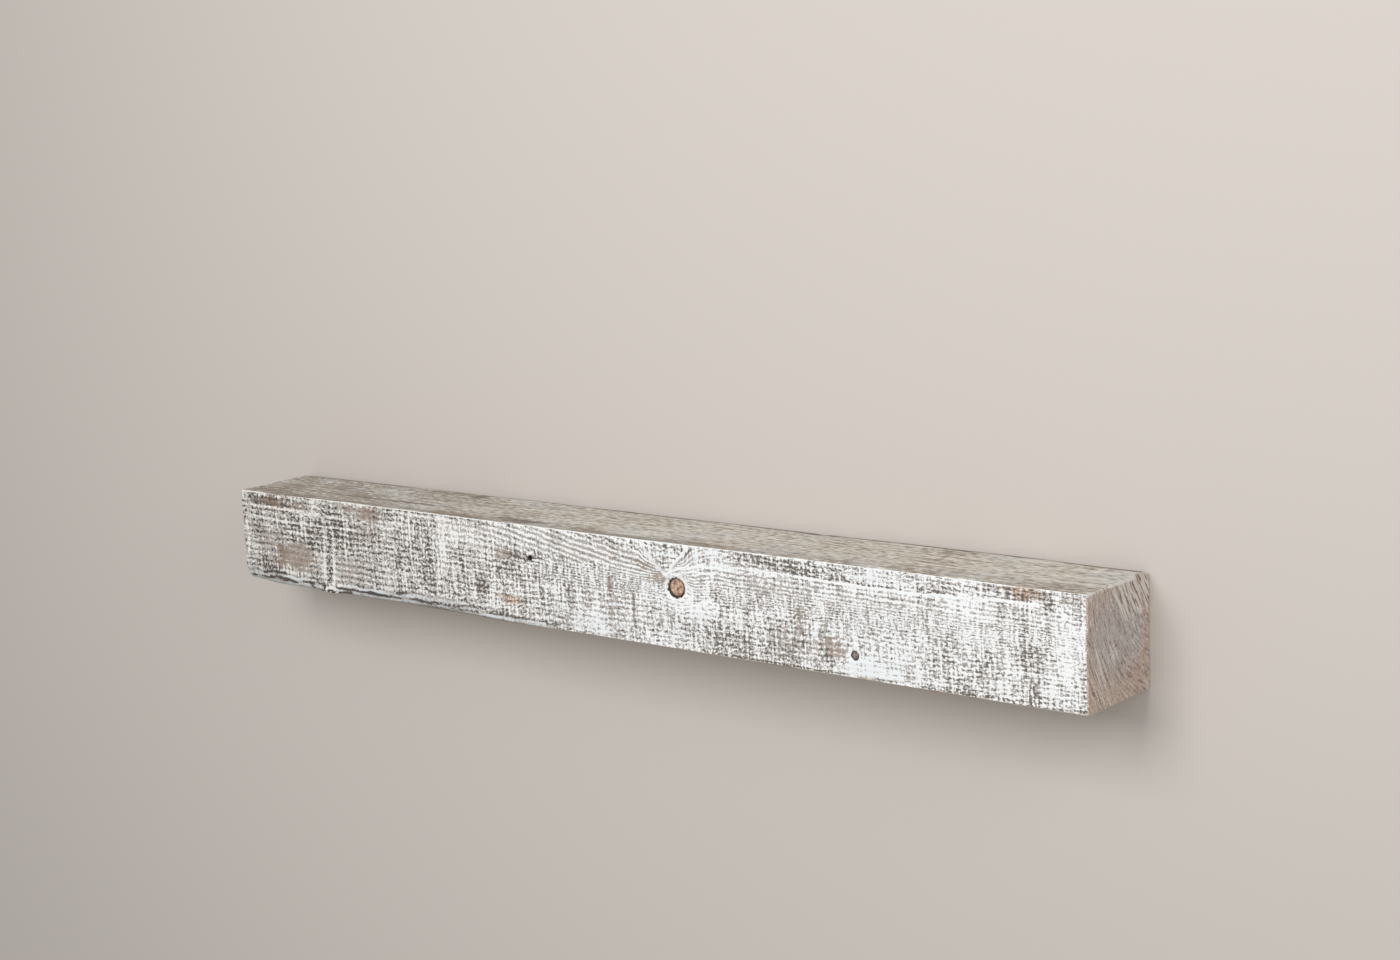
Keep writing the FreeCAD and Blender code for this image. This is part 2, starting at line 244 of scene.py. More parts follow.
# Masonry screw: the solid's neck ends at the wall, and the threaded shank starts inside that neck
NECK_END = -0.1
THREAD_START = -1.0
THREAD_RADIUS = 3.75
THREAD_PITCH = 5.0
THREAD_CORE_SHARE = 0.76
THREAD_TIP_LENGTH = 8.0
THREAD_TIP_SHARE = 0.28
THREAD_ROW_STEP, THREAD_SIDES = 0.4, 28
WELD_GAP = 0.001

# Its high crest and the low one between: place in the pitch, half width and height, as shares
THREAD_CRESTS = ((0.25, 0.13, 1.0), (0.75, 0.1, 0.5))

# Edges that turn by more than these angles, in degrees, look sharp
TIMBER_SHARP, SCREW_SHARP = 42.0, 35.0

# Camera: fitted to the corners of the beam in the photo, in a frame 1400 by 960 pixels
CAMERA_PLACE = (2017.2, -2266.7, 627.1)
CAMERA_YAW, CAMERA_PITCH, CAMERA_ROLL = 40.70, -9.51, -2.45
CAMERA_LENS, SENSOR_WIDTH = 57.53, 36.0

# Slots of the beam's faces: the front is first, then the top, the back and the underside, and then the ends
FRONT_SLOT, END_SLOT = 0, 4


def ease(value, start, end):
    """0 before start, 1 after end, and a smooth rise between."""
    t = np.clip((value - start) / (end - start), 0, 1)
    return t * t * (3 - 2 * t)


def rough(u, v, seed):
    """Smooth random values from -1 to 1, with a new one at each whole number of u and v."""
    size = 256
    table = np.random.default_rng(seed).uniform(-1, 1, (size, size))
    u, v = np.broadcast_arrays(u, v)
    i, j = np.floor(u).astype(int), np.floor(v).astype(int)
    a, b = ease(u - i, 0, 1), ease(v - j, 0, 1)
    low = table[i % size, j % size] * (1 - a) + table[(i + 1) % size, j % size] * a
    high = table[i % size, (j + 1) % size] * (1 - a) + table[(i + 1) % size, (j + 1) % size] * a
    return low * (1 - b) + high * b


def in_patches(x, z, patches):
    """Strength of the patches at each point, which fades out past their edges."""
    total = np.zeros(np.broadcast(x, z).shape)
    ragged = 0.35 * rough(x / 17, z / 6, 27) + 0.3 * rough(x / 6, z / 3, 28)
    for patch_x, patch_z, half_width, half_height, strength in patches:
        reach = np.hypot((x - patch_x) / half_width, (z - patch_z) / half_height)
        total = np.maximum(total, strength * (1 - ease(reach + ragged, 0.3, 1.35)))
    return total


def on_lines(x, z, lines):
    """Strength of the fine lines at each point, which fades out past their width."""
    total = np.zeros(np.broadcast(x, z).shape)
    wander = 1.2 * rough(x / 13, z / 13, 29)
    for half_width, strength, places in lines:
        for (from_x, from_z), (to_x, to_z) in zip(places, places[1:]):
            run_x, run_z = to_x - from_x, to_z - from_z
            along = np.clip(((x - from_x) * run_x + (z - from_z) * run_z) / (run_x**2 + run_z**2), 0, 1)
            gap = np.hypot(x - from_x - along * run_x, z + wander - from_z - along * run_z)
            total = np.maximum(total, strength * (1 - ease(gap, 0.5 * half_width, 1.6 * half_width)))
    return total


def knot_gap(x, z, knot):
    """Distance from a knot's rim, less than nothing inside it."""
    knot_x, knot_z, half_width, half_height = knot
    return (np.hypot((x - knot_x) / half_width, (z - knot_z) / half_height) - 1) * half_width


def in_wedge(x, z):
    """1 in the wedge of level grain above the large knot, and 0 past its sides."""
    left, right = (np.interp(z, WEDGE_HEIGHTS, side) for side in (WEDGE_LEFT, WEDGE_RIGHT))
    return ease(x - left, -1.5, 1.5) * ease(right - x, -1.5, 1.5) * ease(z, 28, 34)


def growth_rings(x, z):
    """Count of growth rings up the front face, which sweep down to the large knot and wrap round it."""
    knot_x = LARGE_KNOT[0]
    sweep = 40 * ease(x, -270, knot_x - 16) - 19 * ease(x, knot_x - 8, knot_x + 75)
    height = z + sweep * ease(z, -10, 30)
    spike = np.clip(1 - np.abs(x - (knot_x - 17)) / 46, 0, 1)
    height = height + 34 * spike * ease(z, 20, 52)
    height = height + 4.5 * rough(x / 190, z / 60, 11) + 1.6 * rough(x / 60, z / 24, 12)
    wedge = in_wedge(x, z)
    height = height * (1 - wedge) + z * wedge
    count = height / np.interp(x, RING_PLACES, RING_SPACINGS)
    gap = knot_gap(x, z, LARGE_KNOT)
    near = np.exp(-np.maximum(gap, 0) / 6.5)
    return count * (1 - near) + near * gap / KNOT_RING_SPACING


def saw_bands(x, across, seed):
    """Count of saw bands along a sawn face, uneven as a bow of the blade leaves them."""
    wander = 0.9 * rough(x / 60, across / 400, seed) + 0.2 * rough(x / 22, across / 45, seed + 1)
    return x / SAW_PITCH + SAW_WIDENING * (x / RIGHT) ** 2 + wander + across / 260


def long_rings(x, across, seed):
    """Count of growth rings across a face where they run straight along the beam."""
    wander = 0.7 * rough(x / 260, across / 40, seed) + 0.22 * rough(x / 70, across / 18, seed + 1)
    return across / LONG_RING_SPACING + wander


def end_rings(y, z):
    """Count of growth rings out from the pith over an end, and the distance and the way from the pith."""
    reach = np.hypot(y - PITH_Y, z - PITH_Z)
    turn = np.arctan2(z - PITH_Z, y - PITH_Y)
    return reach / END_RING_SPACING + 0.4 * rough(y / 30, z / 30, END_SEED), reach, turn


def wane_size(x):
    """Height and depth of the wane at x."""
    places, sizes = zip(*WANE_SHARES)
    share = np.interp((x - LEFT) / WANE_LENGTH, places, sizes)
    share = share + 0.05 * rough(x / 34, 0.5, 31) + 0.02 * rough(x / 9, 0.5, 32)
    return share * WANE_HEIGHT, share * WANE_DEPTH


def beam_section():
    """Points and outward normals round the whole section: up the front, over the top and down the back."""
    middle = np.array([MIDDLE_Y, MIDDLE_Z])
    half = np.array([(BACK - FRONT) / 2, (TOP - BOTTOM) / 2])
    normals = [np.array(n) for n in ((-1, 0), (0, 1), (1, 0), (0, -1))]
    radii = (ARRIS_RADIUS, BACK_TOP_RADIUS, ARRIS_RADIUS, LOWER_ARRIS_RADIUS)
    steps = (FRONT_STEP, TOP_STEP, BACK_STEP, BOTTOM_STEP)
    points, ways = [], []
    for side, (way, radius, step) in enumerate(zip(normals, radii, steps)):
        after, before = normals[(side + 1) % 4], normals[side - 1]
        start = middle + half * (before + way) + radii[side - 1] * after
        end = middle + half * (way + after) - radius * after
        for share in np.linspace(0, 1, round(np.abs(end - start).sum() / step), endpoint=False):
            points.append(start + share * (end - start))
            ways.append(way)
        for turn in np.linspace(0, math.pi / 2, ARC_STEPS, endpoint=False):
            normal = way * math.cos(turn) + after * math.sin(turn)
            points.append(end - radius * way + radius * normal)
            ways.append(normal)
    return np.array(points), np.array(ways)


def left_wear(x):
    """1 at the left end, where the top's front arris is worn lowest, and 0 a hand's length from it."""
    return 1 - ease(x - LEFT, 0, 160)


def sharp_back(x):
    """1 where the top's back arris is nearly sharp, and 0 by the right end, where it is worn round."""
    return 1 - ease(x, RIGHT - 150, RIGHT - 10)


def front_relief(x, z):
    """Height of the sawn front face: saw bands, raised rings, sunk knots and worn arrises."""
    rings, bands = growth_rings(x, z), saw_bands(x, z, FRONT_SEED)
    relief = 0.22 * np.sin(2 * np.pi * rings) + 0.26 * np.sin(2 * np.pi * bands)
    relief += 0.7 * rough(x / 230, z / 80, 41) + 0.3 * rough(x / 26, z / 9, 42)
    for knot, depth in ((LARGE_KNOT, 1.5), (PIN_KNOT, 1.2)):
        gap = knot_gap(x, z, knot)
        relief += 0.7 * np.exp(-((gap - 3.5) / 3.0) ** 2)
        relief -= depth * np.exp(-(gap / 1.3) ** 2) + 0.5 * (gap < 0)
    amber = in_patches(x, z, AMBER_PATCHES)
    relief -= 1.1 * ease(amber + 0.3 * rough(x / 9, z / 3, 43), 0.35, 0.75)
    chip = ease(rough(x / 17, z / 30, 44) + 0.5 * rough(x / 5, z / 8, 45), 0.45, 1.0)
    relief -= (0.4 + 1.6 * chip + 2.0 * left_wear(x)) * (1 - ease(TOP - z, 0, 7))
    return relief - 0.8 * chip * (1 - ease(z - BOTTOM, 0, 4))


def long_relief(x, across, seed):
    """Height of a face weathered along the grain: long soft ridges, dips and a few drying checks."""
    relief = 0.8 * rough(x / 240, across / 60, seed + 2) + 0.4 * rough(x / 70, across / 11, seed + 3)
    check = np.abs(rough(x / 420, across / 26, seed + 4) + 0.06 * rough(x / 12, across / 6, seed + 5))
    open_share = ease(rough(x / 150, across / 45, seed + 6), 0.15, 0.6)
    return relief - 1.4 * open_share * (1 - ease(check, 0.0, 0.08))


def end_relief(y, z):
    """Height of a sawn end: raised rings, slanting saw bands and checks that run out from the pith."""
    rings, reach, turn = end_rings(y, z)
    bands = (y + END_SAW_SLOPE * z) / END_BAND_SPACING + 0.7 * rough(y / 40, z / 60, END_SEED + 1)
    relief = 0.16 * np.sin(2 * np.pi * rings) + 0.2 * np.sin(2 * np.pi * bands)
    check = np.abs(rough(turn * 5.3, reach / 400, END_SEED + 2) + 0.05 * rough(y / 6, z / 6, END_SEED + 3))
    return relief - 1.3 * (1 - ease(check, 0.0, 0.045)) * ease(reach, 80, 110) * (1 - ease(reach, 190, 230))


def burr_curl(x, z):
    """How far each point lies in the burr, and the height of the curled grain there."""
    reach = np.hypot((x - BURR[0]) / BURR[2], (z - BURR[1]) / BURR[3])
    turn = np.arctan2((z - BURR[1]) / BURR[3], (x - BURR[0]) / BURR[2])
    return 1 - ease(reach, 0.65, 1.15), np.sin(2 * np.pi * (2.0 * reach + 0.2) + turn)


def wane_relief(x, z):
    """Height of the bark edge: long soft ridges."""
    return 0.9 * rough(x / 60, z / 8, 51) + 0.5 * rough(x / 17, z / 6, 52)


def loop_mesh(name, places):
    """Closed mesh of rows of points that go round, in millimetres, with a face over each end row."""
    loops, around = places.shape[:2]
    here = np.arange(loops * around).reshape(loops, around)
    beside = np.roll(here, -1, 1)
    quads = np.stack([here[:-1], here[1:], beside[1:], beside[:-1]], -1).reshape(-1, 4)
    ends = [here[0].tolist(), here[-1][::-1].tolist()]
    mesh = bpy.data.meshes.new(name)
    mesh.from_pydata(places.reshape(-1, 3) * MM, [], quads.tolist() + ends)
    return mesh


def beam_blank():
    """The baulk as one closed mesh of loops, from the middle of its left end to the middle of its right."""
    outline, ways = beam_section()
    body = np.linspace(LEFT + END_EASE, RIGHT - END_EASE, round((RIGHT - LEFT) / STATION_STEP))
    shrink = 1 - 2 * END_EASE / (TOP - BOTTOM)
    cap = shrink * np.linspace(CAP_INNER_SHARE, 1, CAP_RINGS)
    caps = np.full(CAP_RINGS, 1.0)
    x = np.concatenate([LEFT * caps, body, RIGHT * caps])[:, None]
    scale = np.concatenate([cap, np.ones(len(body)), cap[::-1]])[:, None]
    facing = np.concatenate([-caps, np.zeros(len(body)), caps])[:, None]

    y, z = (np.broadcast_to(outline[:, k], (len(x), len(outline))).copy() for k in (0, 1))
    way_y, way_z = (np.broadcast_to(ways[:, k], y.shape).copy() for k in (0, 1))
    height, depth = wane_size(x)
    slant = np.hypot(height, depth) + TINY
    out_y, out_z = -np.abs(height) / slant, -np.abs(depth) / slant
    past = (y - FRONT) * out_y + (z - BOTTOM - height) * out_z
    along = ((y - FRONT) * depth - (z - BOTTOM - height) * height) / slant**2
    past = past - WANE_CROWN * np.clip(4 * along * (1 - along), 0, 1)
    on_wane = ease(past, 0.0, 1.5) * (height > 0)
    cut = np.maximum(past, 0) * (height > 0)
    y, z = y - cut * out_y, z - cut * out_z
    way_y, way_z = way_y + on_wane * (out_y - way_y), way_z + on_wane * (out_z - way_z)

    relief = way_y.clip(max=0) ** 2 * (1 - on_wane) * front_relief(x, z)
    top_rise = 0.8 + 2.0 * ease(y, -110, -25) - 2.0 * left_wear(x) * (1 - ease(y - FRONT, 0, 9))
    relief += way_z.clip(0) ** 2 * (top_rise + long_relief(x, y, TOP_SEED))
    back_arris = 2 * way_y.clip(0) * way_z.clip(0)
    relief += 2.0 * back_arris * sharp_back(x)
    relief += way_y.clip(0) ** 2 * long_relief(x, z, BACK_SEED)
    sag = 2.2 * ease(x, LEFT + 20, LEFT + 70) * (1 - ease(x, -160, 0)) * (1 - ease(y - FRONT, 30, 90))
    relief += way_z.clip(max=0) ** 2 * (1 - on_wane) * (0.6 + sag + long_relief(x, y, UNDER_SEED))
    relief += on_wane * (sag + wane_relief(x, z))
    inside, curl = burr_curl(x, z)
    relief += (1.4 + 0.9 * curl) * inside * (1 - ease(y - FRONT, 10, 28))
    relief = (relief - SAWN_DROP) * (facing == 0)
    y, z = y + relief * way_y, z + relief * way_z
    y, z = MIDDLE_Y + scale * (y - MIDDLE_Y), MIDDLE_Z + scale * (z - MIDDLE_Z)
    inner = ease(1 - scale, 0.01, 0.06)
    x = x + facing * inner * (end_relief(y, z) - SAWN_DROP)

    mesh = loop_mesh("beam_timber", np.stack([np.broadcast_to(x, y.shape), y, z], -1))
    sides = np.stack([-way_y, way_z, way_y, -way_z], -1).argmax(-1)
    sides[on_wane > 0.5] = FRONT_SLOT
    sides[facing[:, 0] != 0] = END_SLOT
    face_of = np.where(facing[:-1] != 0, sides[:-1], sides[1:]).ravel()
    face_of = np.append(face_of, [END_SLOT, END_SLOT]).astype(np.int32)
    mesh.polygons.foreach_set("material_index", face_of)
    mesh.update()
    return mesh


def prism(outline, low, high):
    """Closed mesh of an (x, z) outline, drawn from y = low to y = high."""
    mesh = bmesh.new()
    rings = [[mesh.verts.new(Vector((x, y, z)) * MM) for x, z in outline] for y in (low, high)]
    for i in range(len(outline)):
        mesh.faces.new((rings[0][i - 1], rings[0][i], rings[1][i], rings[1][i - 1]))
    mesh.faces.new(rings[0][::-1])
    mesh.faces.new(rings[1])
    bmesh.ops.recalc_face_normals(mesh, faces=mesh.faces)
    return mesh


def circle(x, z, radius, steps=48):
    """Points of a circle."""
    turns = np.linspace(0, 2 * np.pi, steps, endpoint=False)
    return [(x + radius * math.cos(t), z + radius * math.sin(t)) for t in turns]


def rounded_outline(low, high, radius, steps=8):
    """Points of a rectangle with round corners."""
    points = []
    centres = ((high[0], high[1], 0), (low[0], high[1], 1), (low[0], low[1], 2), (high[0], low[1], 3))
    for x, z, quarter in centres:
        inset_x = x - math.copysign(radius, x - (low[0] + high[0]) / 2)
        inset_z = z - math.copysign(radius, z - (low[1] + high[1]) / 2)
        for t in np.linspace(0, math.pi / 2, steps) + quarter * math.pi / 2:
            points.append((inset_x + radius * math.cos(t), inset_z + radius * math.sin(t)))
    return points


def beam_cutters():
    """Four sets of solids that are cut from the blank in turn: recess, bores, lock holes and nail hole."""
    plate_low, plate_high = box_mm("wall_plate")
    floor = box_mm("wall_screw_1")[0][1] - HEAD_CLEARANCE
    mouth = rounded_outline(
        plate_low[[0, 2]] - CHANNEL_CLEARANCE, plate_high[[0, 2]] + CHANNEL_CLEARANCE, CHANNEL_CORNER_RADIUS
    )
    nail = circle(NAIL_X, NAIL_Z, NAIL_DIAMETER / 2, steps=16)
    recess = [prism(mouth, floor, CUT_OVERRUN)]
    nail_hole = [prism(nail, FRONT - CUT_OVERRUN, FRONT + NAIL_DEPTH)]
    bores, holes = [], []
    for node in sorted(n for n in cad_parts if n.startswith("support_rod")):
        low, high = box_mm(node)
        bore = circle((low[0] + high[0]) / 2, 0, (high[0] - low[0]) / 2 + ROD_CLEARANCE)
        bores.append(prism(bore, low[1] - BORE_END_GAP, CUT_OVERRUN))
    for node in sorted(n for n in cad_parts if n.startswith("lock_insert")):
        low, high = box_mm(node)
        x, y = (low[:2] + high[:2]) / 2
        hole = prism(circle(x, y, (high[0] - low[0]) / 2), 0, CUT_OVERRUN - BOTTOM)
        bmesh.ops.rotate(hole, verts=hole.verts, matrix=Matrix.Rotation(-math.pi / 2, 3, "X"))
        holes.append(hole)
    return recess, bores, holes, nail_hole


def new_object(name, mesh, *materials):
    """An object in the scene with these materials."""
    made = bpy.data.objects.new(name, mesh)
    bpy.context.scene.collection.objects.link(made)
    for material in materials:
        mesh.materials.append(material)
    return made


def evaluated_mesh(piece):
    """The piece's mesh with its modifiers applied."""
    return bpy.data.meshes.new_from_object(piece.evaluated_get(bpy.context.evaluated_depsgraph_get()))


def add(tree, kind, inputs=None, **settings):
    """Adds a node with its settings and links.

    An input is a value, a colour's hex code, a socket, or a node whose first output is meant.
    """
    made = tree.nodes.new("ShaderNode" + kind)
    for name, value in settings.items():
        setattr(made, name, value)
    for name, value in (inputs or {}).items():
        if isinstance(value, str):
            value = linear(value)
        if isinstance(value, bpy.types.Node):
            value = value.outputs[0]
        if isinstance(value, bpy.types.NodeSocket):
            tree.links.new(value, made.inputs[name])
        else:
            made.inputs[name].default_value = value
    return made


def linear(code):
    """Linear colour of an sRGB hex code."""
    levels = [int(code[i : i + 2], 16) / 255 for i in (1, 3, 5)]
    return [v / 12.92 if v <= 0.04045 else ((v + 0.055) / 1.055) ** 2.4 for v in levels] + [1.0]


def new_material(name, roughness, metallic=0.0, ior=1.5):
    """A material with the even values of its shader set, its tree, and the place on the piece."""
    material = bpy.data.materials.new(name)
    material.use_nodes = True
    tree = material.node_tree
    for socket, value in (("Roughness", roughness), ("Metallic", metallic), ("IOR", ior)):
        tree.nodes["Principled BSDF"].inputs[socket].default_value = value
    return material, tree, add(tree, "TexCoord").outputs["Object"]


def tinted(tree, colour, layers):
    """Lays tints over a colour, each by how far its mark has come from low to high, up to its strength."""
    for value, low, high, strength, over in layers:
        share = add(
            tree, "MapRange", {"Value": value, "From Min": low, "From Max": high, "To Max": strength},
            interpolation_type="SMOOTHSTEP",
        )
        colour = add(tree, "MixRGB", {"Fac": share, "Color1": colour, "Color2": over})
    return colour


def dressed(material, colour, gloss, height, strength, depth):
    """The material with its colour, its gloss, and a relief whose depth is in millimetres."""
    tree = material.node_tree
    relief = add(tree, "Bump", {"Strength": strength, "Distance": depth * MM, "Height": height})
    for socket, node in (("Base Color", colour), ("Roughness", gloss), ("Normal", relief)):
        tree.links.new(node.outputs[0], tree.nodes["Principled BSDF"].inputs[socket])
    return material


def worn_white_wash():
    """Chalky white wash rubbed thin on rough-sawn pine.

    It is white on the saw's ridges and the proud rings, grey-brown where wood shows, and dark in the pits.
    """
    material, tree, place = new_material("worn_white_wash_on_sawn_pine", 0.85, ior=1.53)
    grain = add(tree, "Attribute", attribute_name="front_grain").outputs["Vector"]
    field = {}
    for name in ("wash", "pits", "sawn", "combed", "bare", "amber", "cool", "thin_and_shaded"):
        field[name] = add(tree, "Attribute", attribute_name=f"front_{name}").outputs["Fac"]

    # Each mark's length along the grain in mm, its count to a ring and to a saw band, and its detail
    mark = {}
    for name, length, to_ring, to_band, detail in (
        ("rings", 75, 1.15, 0, 1.5),
        ("bands", ENDLESS, 0.16, 1.5, 1.5),
        ("broad_bands", ENDLESS, 0.05, 0.3, 1.0),
        ("flecks", 6.0, 2.6, 0, 2.0),
        ("cells", ENDLESS, 2.0, 1.35, 2.0),
        ("fibres", 16, 6, 0, 2.0),
    ):
        stretch = (ALONG_UNIT / length, to_ring, to_band)
        scaled = add(tree, "VectorMath", {0: grain, 1: stretch}, operation="MULTIPLY")
        mark[name] = add(tree, "TexNoise", {"Vector": scaled, "Scale": 1.0, "Detail": detail})
    for name, size in (("speckle", 2.2), ("specks", 5), ("blots", 18), ("drift", 70)):
        mark[name] = add(tree, "TexNoise", {"Vector": place, "Scale": 1 / (size * MM), "Detail": 2.0})
    for name, axis, sway in (("ring_wave", "Y", 2.5), ("band_wave", "Z", 3.5)):
        mark[name] = add(
            tree, "TexWave",
            {"Vector": grain, "Scale": ONE_WAVE, "Distortion": sway, "Detail": 2.0, "Detail Scale": 1.5},
            bands_direction=axis,
        ).outputs["Fac"]
    mark["ridges"] = add(tree, "MapRange", {"Value": mark["bands"], "From Min": 0.48, "From Max": 0.68})
    mark["band_wave"] = add(tree, "MapRange", {"Value": mark["band_wave"], "From Min": 0.45})
    mark["combed"] = add(tree, "Math", {0: mark["ring_wave"], 1: field["combed"]}, operation="MULTIPLY")
    for name in ("ridges", "broad_bands", "band_wave", "flecks", "cells"):
        mark[name] = add(tree, "Math", {0: mark[name], 1: field["sawn"]}, operation="MULTIPLY")

    height = -1.445
    for name, weight in (
        ("ring_wave", 0.17), ("combed", 0.22), ("rings", 0.25), ("band_wave", 0.09), ("ridges", 0.26),
        ("broad_bands", 0.35), ("flecks", 1.1), ("cells", 0.55), ("speckle", 0.9), ("fibres", 0.1),
        ("blots", 0.2),
    ):
        height = add(tree, "Math", {0: mark[name], 1: weight, 2: height}, operation="MULTIPLY_ADD")
    share = {}
    for name, parts, low, high in (
        ("white", ((height, 1.0), (field["wash"], 1.0)), 0.37, 0.57),
        ("pit", ((height, -1.0), (field["pits"], -1.0)), -0.31, -0.17),
        ("bare", ((field["bare"], 1.0), (mark["blots"], 0.9), (mark["fibres"], 0.5)), 0.85, 1.5),
        ("amber", ((field["amber"], 1.1), (mark["bands"], 3.0), (mark["flecks"], 1.5)), 2.75, 3.35),
        ("ruddy", ((mark["drift"], 1.0), (mark["fibres"], 0.6), (mark["speckle"], 0.9)), 1.0, 1.5),
    ):
        total = 0.0
        for value, weight in parts:
            total = add(tree, "Math", {0: value, 1: weight, 2: total}, operation="MULTIPLY_ADD")
        share[name] = add(
            tree, "MapRange", {"Value": total, "From Min": low, "From Max": high},
            interpolation_type="SMOOTHSTEP",
        )

    # Wood that shows through is grey, brown where it is bare, and tan where resin stained it
    wood, paint, pit = "#B8B3AE", "#F4F6F7", "#6B6560"
    for fac, pale, dark in ((share["bare"], "#B2A79E", "#8D7B6E"), (share["amber"], "#C9B49D", "#917053")):
        over = add(tree, "MixRGB", {"Fac": share["ruddy"], "Color1": pale, "Color2": dark})
        wood = add(tree, "MixRGB", {"Fac": fac, "Color1": wood, "Color2": over})
    # To the left the paint is greyer and the pits darker: thinner wash, and painted shade from a falloff of
    # light
    for fac, over in ((field["thin_and_shaded"], "#EDEBE7"), (field["cool"], "#CDD6DB"), (share["amber"], "#E4D7C7")):
        paint = add(tree, "MixRGB", {"Fac": fac, "Color1": paint, "Color2": over})
    for fac, over in ((field["thin_and_shaded"], "#443E38"), (share["ruddy"], "#5D554E"), (share["amber"], "#5A4030")):
        pit = add(tree, "MixRGB", {"Fac": fac, "Color1": pit, "Color2": over})
    colour = wood
    for fac, over in ((share["white"], paint), (share["pit"], pit)):
        colour = add(tree, "MixRGB", {"Fac": fac, "Color1": colour, "Color2": over})

    # Each knot is a mottled heart in a ring of dark bark, thicker at its lower left; rust rims the nail hole
    mottled = add(tree, "MapRange", {"Value": mark["specks"], "From Min": 0.35, "From Max": 0.65})
    for (x, z, half_width, half_height), dark, pale in (
        (LARGE_KNOT, "#1E1611", "#4A382A"),
        (LARGE_HEART, "#74503A", "#D8B8A0"),
        (PIN_KNOT, "#2E2926", "#4A4440"),
        (PIN_HEART, "#665D58", "#948B85"),
        (NAIL_RUST, "#1C1714", "#38302A"),
    ):
        offset = add(tree, "VectorMath", {0: place, 1: Vector((x, FRONT, z)) * MM}, operation="SUBTRACT")
        stretch = (1 / (half_width * MM), 0, 1 / (half_height * MM))
        sized = add(tree, "VectorMath", {0: offset, 1: stretch}, operation="MULTIPLY")
        reach = add(tree, "VectorMath", {0: sized}, operation="LENGTH").outputs["Value"]
        reach = add(tree, "Math", {0: mark["specks"], 1: 0.4, 2: reach}, operation="MULTIPLY_ADD")
        inside = add(
            tree, "MapRange", {"Value": reach, "From Min": 1.26, "From Max": 1.14},
            interpolation_type="SMOOTHSTEP",
        )
        over = add(tree, "MixRGB", {"Fac": mottled, "Color1": dark, "Color2": pale})
        colour = add(tree, "MixRGB", {"Fac": inside, "Color1": colour, "Color2": over})
    gloss = add(tree, "MapRange", {"Value": share["white"], "To Min": 0.74, "To Max": 0.92})
    return dressed(material, colour, gloss, height, strength=0.6, depth=0.6)


def weathered_pine():
    """Pine left bare to the weather: silver-grey and beige streaks along the grain, dark in summer wood."""
    material, tree, place = new_material("weathered_pine", 0.85, ior=1.53)
    grain = add(tree, "Attribute", attribute_name="top_grain").outputs["Vector"]
    field = {}
    for name in ("stain_and_shade", "paint", "worn_and_shaded"):
        field[name] = add(tree, "Attribute", attribute_name=f"top_{name}").outputs["Fac"]
    mark = {"drift": add(tree, "TexNoise", {"Vector": place, "Scale": 1 / (90 * MM), "Detail": 3.0})}
    for name, length, to_ring in (("streaks", 110, 1.2), ("flecks", 12, 1.8), ("fibres", 22, 6)):
        stretch = (ALONG_UNIT / length, to_ring, 0)
        scaled = add(tree, "VectorMath", {0: grain, 1: stretch}, operation="MULTIPLY")
        mark[name] = add(tree, "TexNoise", {"Vector": scaled, "Scale": 1.0, "Detail": 3.0})
    shade = -1.85
    for name, weight in (("streaks", 1.2), ("flecks", 1.7), ("fibres", 1.3), ("drift", 0.5)):
        shade = add(tree, "Math", {0: mark[name], 1: weight, 2: shade}, operation="MULTIPLY_ADD")
    for name in ("stain_and_shade", "paint"):
        field[name] = add(tree, "Math", {0: mark["flecks"], 1: field[name]}, operation="ADD")
    layers = (
        # Darker toward the left: partly wear, partly painted shade
        (field["worn_and_shaded"], 0.0, 1.0, 0.9, "#A2978B"),
        (mark["drift"], 0.48, 0.66, 0.8, "#C2C2BE"),
        (shade, 0.5, 0.15, 0.9, "#85715E"),
        (shade, 0.5, 0.85, 0.9, "#EFE8DD"),
        # Stains, and the painted shadow line along the back edge by the wall
        (field["stain_and_shade"], 0.75, 1.45, 0.75, "#66564B"),
        (field["paint"], 0.75, 1.15, 1.0, "#F1EFEA"),
    )
    gloss = add(tree, "MapRange", {"Value": shade, "To Min": 0.75, "To Max": 0.92})
    return dressed(material, tinted(tree, "#D6CDC0", layers), gloss, shade, strength=0.6, depth=0.5)


